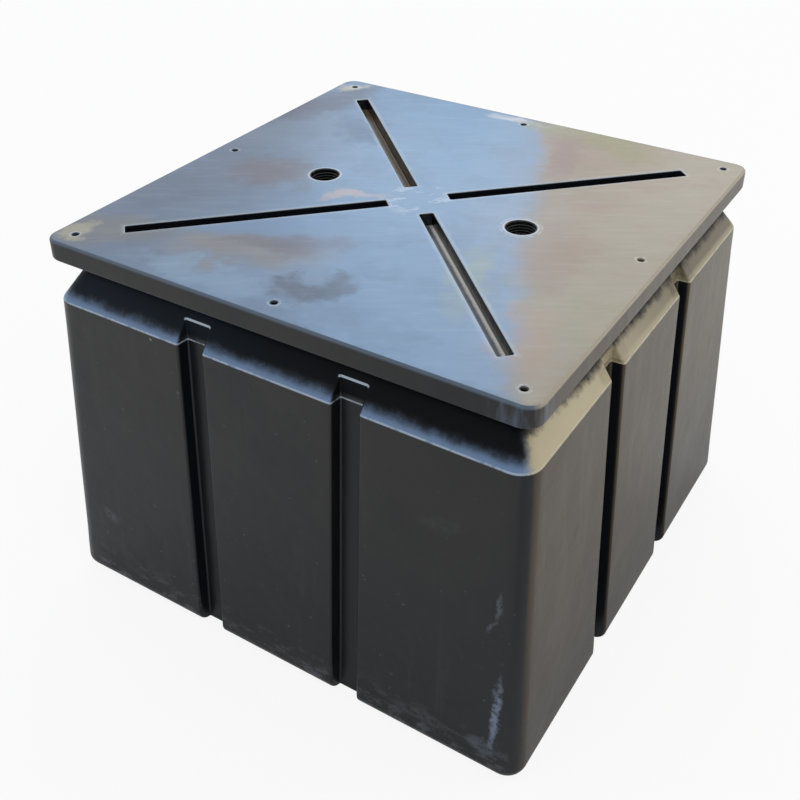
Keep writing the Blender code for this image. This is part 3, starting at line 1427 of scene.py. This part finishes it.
@dataclass(frozen=True)
class ChannelFinish:
    """Black polyethylene of the deck's channels: haze and painted reflections on their floors,
    painted light and shade across the front channel's floor and a painted highlight on the rims.
    """

    sizes: ShellSizes
    name: str = "channel_polyethylene"
    wall: Colour = seen(15, 18, 25)
    haze_and_reflection: Colour = seen(104, 110, 118)
    warm_reflection_tint: Colour = seen(120, 106, 84)
    channel_shade: Colour = seen(58, 42, 38)
    channel_highlight: Colour = seen(250, 248, 242)
    lip: Colour = seen(176, 190, 204)

    def make(self) -> bpy.types.Material:
        """Builds the material.

        Returns:
            The material.
        """
        g = NodeGraph(self.name)
        s = self.sizes
        floor = s.height - s.channel_depth
        cloud = g.noise(16.0, 4.0, 0.6, seed=3.7)
        # Floors: grey-blue haze with painted reflection towards the front, a painted warm
        # reflection towards the back.
        ground = g.blend(g.y.ramp(-0.05, 0.1), self.haze_and_reflection, self.warm_reflection_tint)
        # Across the front channel's floor: painted shade on one side, a painted highlight along
        # the other.
        aside = (g.x + g.y) * math.sqrt(0.5) + (g.noise(60.0, 3.0, 0.6, seed=5.1) - 0.5) * 0.004
        light_across = g.blend(aside.ramp(-0.0115, 0.004), self.channel_shade, self.haze_and_reflection)
        light_across = g.blend(aside.ramp(0.004, 0.0105), light_across, self.channel_highlight)
        ground = g.blend((g.x - g.y).ramp(0.05, 0.12) * g.y.ramp(0.0, -0.02), ground, light_across)
        colour = g.blend(g.z.ramp(floor + 0.0035, floor + 0.0005), self.wall, ground)
        # A pale line on the rounded rim: painted highlight.
        colour = g.blend(g.z.ramp(s.height - 0.0014, s.height - 0.0002, 0.0, 0.8), colour,
                         self.lip)
        rough = 0.18 + cloud * 0.14
        return g.finish(colour, rough, g.bump(g.noise(24.0, 3.0, 0.5, seed=1.3), 0.0012))


@dataclass(frozen=True)
class SideFinish:
    """Black polyethylene of the flange's edge, shoulder and walls, with dust and scuffs, and with
    painted shade, painted reflections and painted highlights.
    """

    sizes: ShellSizes
    name: str = "satin_side_polyethylene"
    shine: float = 1.40
    base: Colour = seen(35, 35, 36)
    # Darker, bluer colour: painted shade towards the floor and in the grooves, also random dark
    # clouds.
    low: Colour = seen(8, 15, 21)
    cloud: Colour = seen(48, 48, 48)
    scuff: Colour = seen(92, 98, 106)
    # The right side's dust, painted lighter and browner as warm light falls there; the lowest of
    # these is darker towards the floor as painted shade.
    dust: Colour = seen(60, 49, 31)
    dust_light: Colour = seen(83, 73, 53)
    shaded_low_dust: Colour = seen(33, 24, 14)
    # Painted shade laid under the flange.
    painted_shade: Colour = seen(22, 31, 41)
    painted_shade_dark: Colour = seen(8, 12, 17)
    # Shoulder strips: painted reflection of the sky (cool) and of warm light (cream).
    cool_reflection_strip: Colour = seen(116, 146, 186)
    cream_reflection_strip: Colour = seen(190, 178, 146)
    # Painted highlights: the flange's top edge and front corner, and the crease and groove crest
    # lines.
    cool_edge_highlight: Colour = seen(104, 124, 148)
    warm_edge_highlight: Colour = seen(170, 160, 142)
    cool_highlight_line: Colour = seen(176, 192, 208)
    cream_highlight_line: Colour = seen(206, 198, 172)
    front_marks: tuple[SoftPatch, ...] = (
        SoftPatch(0.482, 0.155, 0.115, 0.0110, 88.0, seen(116, 132, 156), 0.75),
        SoftPatch(0.466, 0.400, 0.040, 0.0080, 84.0, seen(84, 92, 102), 0.7),
        SoftPatch(0.457, 0.352, 0.024, 0.0060, 66.0, seen(76, 84, 94), 0.65),
        SoftPatch(-0.425, 0.180, 0.030, 0.0180, 150.0, seen(62, 68, 78), 0.7),
        SoftPatch(0.496, 0.396, 0.004, 0.003, 0.0, seen(150, 154, 160), 0.8),
        SoftPatch(0.335, 0.064, 0.080, 0.018, 0.0, seen(66, 72, 78), 0.55),
        SoftPatch(0.459, 0.067, 0.040, 0.022, 0.0, seen(84, 94, 106), 0.55),
        SoftPatch(-0.253, 0.663, 0.004, 0.003, 80.0, seen(190, 190, 190), 0.8),
        SoftPatch(0.352, 0.521, 0.060, 0.020, 12.0, seen(50, 51, 53), 0.5),
    )
    shoulder_marks: tuple[SoftPatch, ...] = (
        SoftPatch(0.120, 0.712, 0.012, 0.0035, 60.0, seen(90, 104, 120), 0.8),
        SoftPatch(0.104, 0.706, 0.010, 0.0025, 150.0, seen(80, 92, 106), 0.8),
        SoftPatch(0.252, 0.704, 0.016, 0.0040, 35.0, seen(120, 136, 150), 0.8),
        SoftPatch(-0.07, 0.702, 0.007, 0.0030, 20.0, seen(70, 80, 92), 0.8),
        SoftPatch(-0.44, 0.700, 0.040, 0.0050, 12.0, seen(84, 100, 116), 0.6),
    )
    right_marks: tuple[SoftPatch, ...] = (
        SoftPatch(0.016, 0.044, 0.012, 0.005, 30.0, seen(132, 58, 50), 0.7),
        SoftPatch(-0.36, 0.30, 0.16, 0.07, 80.0, seen(76, 70, 60), 0.25),
    )

    def make(self) -> bpy.types.Material:
        """Builds the material.

        Returns:
            The material.
        """
        g = NodeGraph(self.name)
        ragged = (g.noise(40.0, 4.0, 0.7, seed=6.6) - 0.5) * 0.03
        right = (g.x - abs(g.y) + ragged).ramp(-0.012, 0.022)
        cloud = g.noise(5.0, 5.0, 0.6, seed=9.1)
        colour = self._scuffs(g, self._ground(g, cloud, right), right)
        colour, strip = self._shoulder(g, self._hollows(g, colour, right), right)
        self._shade(g, strip)
        rough = 0.24 + g.noise(150.0, 3.0, 0.6, seed=5.5) * 0.08 + cloud * 0.08
        waves = g.noise(8.0, 3.0, 0.5, seed=2.2) + g.noise(110.0, 3.0, 0.6, seed=8.2) * 0.02
        height = waves + self._torn(g, right) * 5.0
        return g.finish(colour, rough, g.bump(height, 0.0025), self.shine)

    def _ground(self, g: NodeGraph, cloud: Signal, right: Signal) -> Signal:
        """The black walls, with painted shade darker and bluer towards the floor, and on the right
        the dust that has run down them, painted lighter and browner as warm light falls on that
        side.

        Args:
            g: The material's graph.
            cloud: Large clouds of grime.
            right: Mask of the right side, dusty and painted as lit by warm light.

        Returns:
            The colour.
        """
        flange = self.sizes.underside
        runs = g.noise(32.0, 4.0, 0.6, stretch=(1.0, 1.0, 20.0), seed=4.0)
        # Painted shade: the plain walls darker and bluer towards the floor.
        plain = g.blend(g.z.ramp(0.6, 0.05), self.base, self.low)
        plain = g.blend(cloud.ramp(0.45, 0.75, 0.0, 0.5), plain, self.low)
        plain = g.blend(runs.ramp(0.58, 0.75, 0.0, 0.35), plain, self.cloud)
        # The right side: dust and its runs, painted lighter and browner as lit by warm light,
        # lighter towards the back.
        spread = g.y.ramp(-0.45, 0.45, 0.0, 0.75) + runs.ramp(0.35, 0.7, -0.3, 0.35)
        spread = spread - g.z.ramp(flange - 0.004, flange) * g.y.ramp(0.0, 0.5, 0.0, 0.9)
        dust_and_warm_light = g.blend(spread, self.dust, self.dust_light)
        # Painted shade: the right side darker towards the floor.
        dust_and_warm_light = g.blend(g.z.ramp(0.55, 0.05, 0.0, 0.9), dust_and_warm_light, self.shaded_low_dust)
        return g.blend(right, plain, dust_and_warm_light)

    def _scuffs(self, g: NodeGraph, colour: Signal, right: Signal) -> Signal:
        """The marks of the front and right walls, the scuffed foot and the small nicks.

        Args:
            g: The material's graph.
            colour: The colour below.
            right: Mask of the right side, dusty and painted as lit by warm light.

        Returns:
            The colour with the scuffs.
        """
        s = self.sizes
        front = g.y.ramp(-0.44, -0.48)
        shift = (g.noise(26.0, 4.0, 0.7, seed=3.3) - 0.5) * 0.03
        broken = g.noise(80.0, 4.0, 0.7, seed=3.3).ramp(0.34, 0.56)
        colour = g.marked(colour, g.x + shift, g.z, self.front_marks, front * broken)
        colour = g.marked(colour, g.y, g.z, self.right_marks, right)
        scrapes = g.noise(48.0, 5.0, 0.75, stretch=(2.0, 2.0, 1.0), seed=1.9)
        foot = g.z.ramp(0.115, 0.015) * scrapes.ramp(0.51, 0.62, 0.0, 0.55)
        nicks = g.noise(85.0, 2.0, 0.5, seed=6.9).ramp(0.72, 0.76, 0.0, 0.45)
        rubbed = foot.most(nicks * g.z.ramp(s.crease, s.crease - 0.02))
        colour = g.blend(rubbed * (0.85 - right * 0.55), colour, self.scuff)
        return g.marked(colour, g.x, g.z, self.shoulder_marks, front)

    def _hollows(self, g: NodeGraph, colour: Signal, right: Signal) -> Signal:
        """Painted shade in the hollows of the grooves, and painted reflection bands on the
        flange's front corner.

        Args:
            g: The material's graph.
            colour: The colour below.
            right: Mask of the right side, dusty and painted as lit by warm light.

        Returns:
            The colour with both.
        """
        s = self.sizes
        lean = math.tan(s.wall_draft)
        outness = abs(g.x).most(abs(g.y)) + (g.z - s.crease) * lean - s.crease_half
        # Painted shade deep in the grooves, with less of it on the right side's groove floors.
        groove_shade = outness.ramp(-0.003, -0.008) * g.z.ramp(s.crease + 0.002, s.crease)
        groove_shade = groove_shade * (1.0 - right * outness.ramp(-0.0215, -0.024) * 0.8)
        colour = g.blend(groove_shade, colour, self.low)
        # Painted reflection bands on the flange's front corner.
        nose = (g.x - g.y).ramp(0.90, 0.97) * g.z.ramp(s.underside, s.underside + 0.004)
        reflection_bands = g.noise(46.0, 3.0, 0.6, stretch=(1.0, 1.0, 6.0), seed=8.1)
        return g.blend(nose * reflection_bands.ramp(0.45, 0.65, 0.0, 0.35), colour, self.cool_edge_highlight)

    def _shade(self, g: NodeGraph, strip: Signal) -> None:
        """Lays a matt dark film of painted shade over shoulder, ledge and neck, under the flange,
        where its shadow falls.

        Args:
            g: The material's graph.
            strip: Mask of what the painted shade leaves out.
        """
        s = self.sizes
        shaded = g.z.ramp(s.crease + 0.004, s.crease + 0.014)
        shaded = shaded * g.z.ramp(s.underside + 0.002, s.underside)
        # Painted shade, darker towards the right.
        painted_shade = g.blend(g.x.ramp(-0.5, 0.2), self.painted_shade, self.painted_shade_dark)
        g.cover(shaded * (1.0 - strip), g.painted_shade(painted_shade))

    def _torn(self, g: NodeGraph, right: Signal) -> Signal:
        """Height of the torn flash at the tops of the right-hand grooves.

        Args:
            g: The material's graph.
            right: Mask of the right side, dusty and painted as lit by warm light.

        Returns:
            The height, from 0 to 1.
        """
        s = self.sizes
        near = abs(abs(g.y) - s.groove_offset).ramp(s.groove_width * 1.1, s.groove_width * 0.5)
        near = near * right * g.z.ramp(s.crease, s.crease + 0.01)
        near = near * g.z.ramp(s.underside - 0.005, s.underside - 0.015)
        return near * g.noise(38.0, 4.0, 0.6, seed=3.8)

    def _shoulder(self, g: NodeGraph, colour: Signal, right: Signal) -> tuple[Signal, Signal]:
        """The pale strip above the crease, painted as reflecting the sky on the cool sides and
        warm light on the right, and the pale lines along the edges, painted highlights that are
        partly wear.

        Args:
            g: The material's graph.
            colour: The colour below.
            right: Mask of the right side, dusty and painted as lit by warm light.

        Returns:
            The colour with the strip and lines, and the mask of both.
        """
        s = self.sizes
        along = abs(g.x).least(abs(g.y))
        in_groove = abs(along - s.groove_offset).ramp(s.groove_width / 2 + 0.004,
                                                      s.groove_width / 2)
        frayed = g.z - s.crease + (g.noise(30.0, 4.0, 0.7, seed=5.9) - 0.5) * 0.022
        # The pale strip above the crease: painted reflection of the sky on the cool sides, of warm
        # light on the right.
        cool = frayed.ramp(0.028, 0.004, 0.0, 0.75) * (1.0 - in_groove)
        brushed = (g.noise(110.0, 3.0, 0.6, stretch=(1.0, 1.0, 6.0), seed=7.7) - 0.5) * 0.010
        reach = frayed + brushed + g.y.ramp(-0.45, -0.25, -0.012, 0.0)
        cream = reach.ramp(0.044, 0.022) * g.y.ramp(-0.35, 0.25, 1.0, 0.55)
        above = g.z.ramp(s.crease - 0.002, s.crease + 0.002)
        strip = (cool * (1.0 - right) + cream * right) * above
        colour = g.blend(strip, colour, g.blend(right, self.cool_reflection_strip, self.cream_reflection_strip))
        # Pale lines on the groove crests and the crease: painted highlight, partly wear.
        crest = g.z.band(s.groove_top, 0.0012, 0.0016) * in_groove
        broken = g.noise(60.0, 3.0, 0.6, seed=7.1).ramp(0.3, 0.55, 0.25, 1.0)
        crease = g.z.band(s.crease + 0.001, 0.0007, 0.0016) * broken * 0.7
        line = g.blend(right, self.cool_highlight_line, self.cream_highlight_line)
        wear_and_highlight = crest.most(crease)
        colour = g.blend(wear_and_highlight, colour, line)
        # A pale line along the flange's rounded top edge: painted highlight.
        rim = g.z.ramp(s.height - 0.0065, s.height - 0.0015) * (0.5 + right * 0.4)
        colour = g.blend(rim, colour, g.blend(right, self.cool_edge_highlight, self.warm_edge_highlight))
        return colour, strip.most(wear_and_highlight)


@dataclass(frozen=True)
class SocketFinish:
    """Unfaded black polyethylene of the threaded sockets, with lighter patches that are partly
    rubbing and partly painted glints.
    """

    name: str = "socket_polyethylene"
    base: Colour = seen(16, 18, 20)
    wear_and_highlight: Colour = seen(58, 64, 66)

    def make(self) -> bpy.types.Material:
        """Builds the material.

        Returns:
            The material.
        """
        g = NodeGraph(self.name)
        # Lighter patches: partly rubbed plastic, partly painted glints.
        rubbed = g.noise(90.0, 3.0, 0.6, seed=2.6).ramp(0.5, 0.7, 0.0, 0.6)
        colour = g.blend(rubbed, self.base, self.wear_and_highlight)
        rough = 0.16 + rubbed * 0.2
        return g.finish(colour, rough, g.bump(g.noise(70.0, 2.0, 0.5, seed=1.1), 0.0006))


@dataclass(frozen=True)
class ChamberFinish:
    """Unlit black polyethylene inside the shell, with the pebble of an inner skin."""

    name: str = "chamber_polyethylene"
    base: Colour = seen(22, 22, 23)
    dust: Colour = seen(40, 40, 40)

    def make(self) -> bpy.types.Material:
        """Builds the material.

        Returns:
            The material.
        """
        g = NodeGraph(self.name)
        cloud = g.noise(12.0, 4.0, 0.6, seed=6.0)
        colour = g.blend(cloud.ramp(0.4, 0.7), self.base, self.dust)
        return g.finish(colour, 0.45 + cloud * 0.2,
                        g.bump(g.noise(60.0, 3.0, 0.5, seed=1.0), 0.001), 1.45)


@dataclass(frozen=True)
class PhotoCamera:
    """The camera at the photograph's place."""

    place: Vector = Vector((0.9778, -1.6297, 1.7105))
    azimuth: float = math.radians(32.035)
    elevation: float = math.radians(33.061)
    lens: float = 48.25
    rise: float = -0.075

    def build(self) -> bpy.types.Object:
        """Makes the camera and gives it to the scene.

        Returns:
            The camera.
        """
        data = bpy.data.cameras.new("camera")
        data.sensor_width = 36.0
        data.lens = self.lens
        data.shift_y = self.rise
        camera = added("camera", data)
        back = Vector((math.sin(self.azimuth) * math.cos(self.elevation),
                       -math.cos(self.azimuth) * math.cos(self.elevation),
                       math.sin(self.elevation)))
        aim(camera, self.place, back)
        bpy.context.scene.camera = camera
        return camera


@dataclass(frozen=True)
class SoftBox:
    """A soft rectangular lamp that faces the float.

    Attributes:
        name: The lamp's name.
        bearing: Its direction in plan, in degrees from +Y towards +X.
        elevation: Its height above the horizon, in degrees.
        distance: Its distance from the float's middle, in metres.
        width: Its width in metres.
        depth: Its height in metres.
        power: Its power in watts.
        tint: Its colour.
    """

    name: str
    bearing: float
    elevation: float
    distance: float
    width: float
    depth: float
    power: float
    tint: tuple[float, float, float]

    def build(self) -> bpy.types.Object:
        """Makes the lamp.

        Returns:
            The lamp.
        """
        data = bpy.data.lights.new(self.name, "AREA")
        data.shape = "RECTANGLE"
        data.size, data.size_y = self.width, self.depth
        data.energy = self.power
        data.color = self.tint
        lamp = added(self.name, data)
        around, up = math.radians(self.bearing), math.radians(self.elevation)
        way = Vector((math.sin(around) * math.cos(up), math.cos(around) * math.cos(up),
                      math.sin(up)))
        middle = Vector((0.0, 0.0, 0.55))
        aim(lamp, middle + way * self.distance, way)
        lamp.visible_camera = False
        return lamp


@dataclass(frozen=True)
class Studio:
    """The pale floor, the white surroundings and the soft lamps.

    Attributes:
        floor_half: Half the floor's side.
        floor_drop: How far it lies below the float, so that their faces don't flicker.
        floor_colour: The floor's paint.
        white: Strength of the white that the camera and the shines see.
        floor_white: How much of that white the floor shows the camera, over its own light.
        floor_shine: The same for what shines on the float show.
        fill: Strength of the surroundings as light.
        lamps: The soft lamps.
    """

    floor_half: float = 30.0
    floor_drop: float = 0.0005
    floor_colour: Colour = (0.92, 0.92, 0.92, 1.0)
    white: float = 1.0
    floor_white: float = 0.88
    floor_shine: float = 0.1
    fill: float = 0.78
    lamps: tuple[SoftBox, ...] = (
        SoftBox("cool_back_box", -31.0, 31.0, 14.0, 3.2, 5.2, 120.0, (0.41, 0.69, 1.0)),
        SoftBox("warm_back_box", -14.2, 30.0, 14.0, 5.0, 5.2, 112.0, (1.0, 0.925, 0.775)),
        SoftBox("warm_side_box", 43.0, 14.0, 4.0, 1.4, 1.0, 14.0, (1.0, 0.95, 0.86)),
    )

    def build(self) -> None:
        """Makes the floor, the world and the lamps."""
        mesh = bmesh.new()
        bmesh.ops.create_grid(mesh, x_segments=1, y_segments=1, size=self.floor_half)
        floor = finished("floor", mesh)
        floor.location.z = -self.floor_drop
        floor.data.materials.append(self._floor_paint())
        self._surroundings()
        for lamp in self.lamps:
            lamp.build()

    def _floor_paint(self) -> bpy.types.Material:
        """Matt pale paint, which shows the camera more of the white than of its shadows.

        Returns:
            The material.
        """
        g = NodeGraph("pale_floor_paint")
        for name, value in (("Base Color", self.floor_colour), ("Roughness", 0.9),
                            ("Specular IOR Level", 0.1)):
            g.feed(g.shader.inputs[name], value)
        glow = g.add("ShaderNodeEmission", {}, {"Strength": self.white})
        g.cover(g.by_viewer(0.0, self.floor_white, self.floor_shine), glow)
        return g.material

    def _surroundings(self) -> None:
        """White where the camera or a shine sees them, and a softer fill as light."""
        world = bpy.data.worlds.new("surroundings")
        world.use_nodes = True
        bpy.context.scene.world = world
        background = world.node_tree.nodes["Background"]
        sky = NodeTree(world.node_tree)
        sky.feed(background.inputs["Color"], (1.0, 1.0, 1.0, 1.0))
        sky.feed(background.inputs["Strength"], sky.by_viewer(self.fill, self.white, self.white))


def dress(piece: bpy.types.Object, materials: Sequence[bpy.types.Material]) -> None:
    """Gives a piece its materials and its place on the CAD body.

    Args:
        piece: The piece.
        materials: Its materials, in the order of its faces' numbers.
    """
    for material in materials:
        piece.data.materials.append(material)
    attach(piece, BODY)
    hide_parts(CAD_NODE)
    LOG.info("%s: %d faces, %s", piece.name, len(piece.data.polygons),
             ", ".join(material.name for material in materials))


def main() -> None:
    """Builds the float's visible pieces, the camera and the studio."""
    logging.basicConfig(level=logging.INFO, format="%(message)s")
    bpy.context.scene.view_settings.view_transform = "Standard"
    PhotoCamera().build()
    sizes = ShellSizes()
    socket = SocketFinish().make()
    dress(FloatShell(sizes).build(), [DeckFinish(sizes).make(), ChannelFinish(sizes).make(),
                                      SideFinish(sizes).make(), socket, ChamberFinish().make()])
    for side, place in zip(("left", "right"), sizes.socket_places()):
        dress(BungThread(sizes, f"bung_thread_{side}", place).build(), [socket])
    Studio().build()


if __name__ == "__main__":
    main()
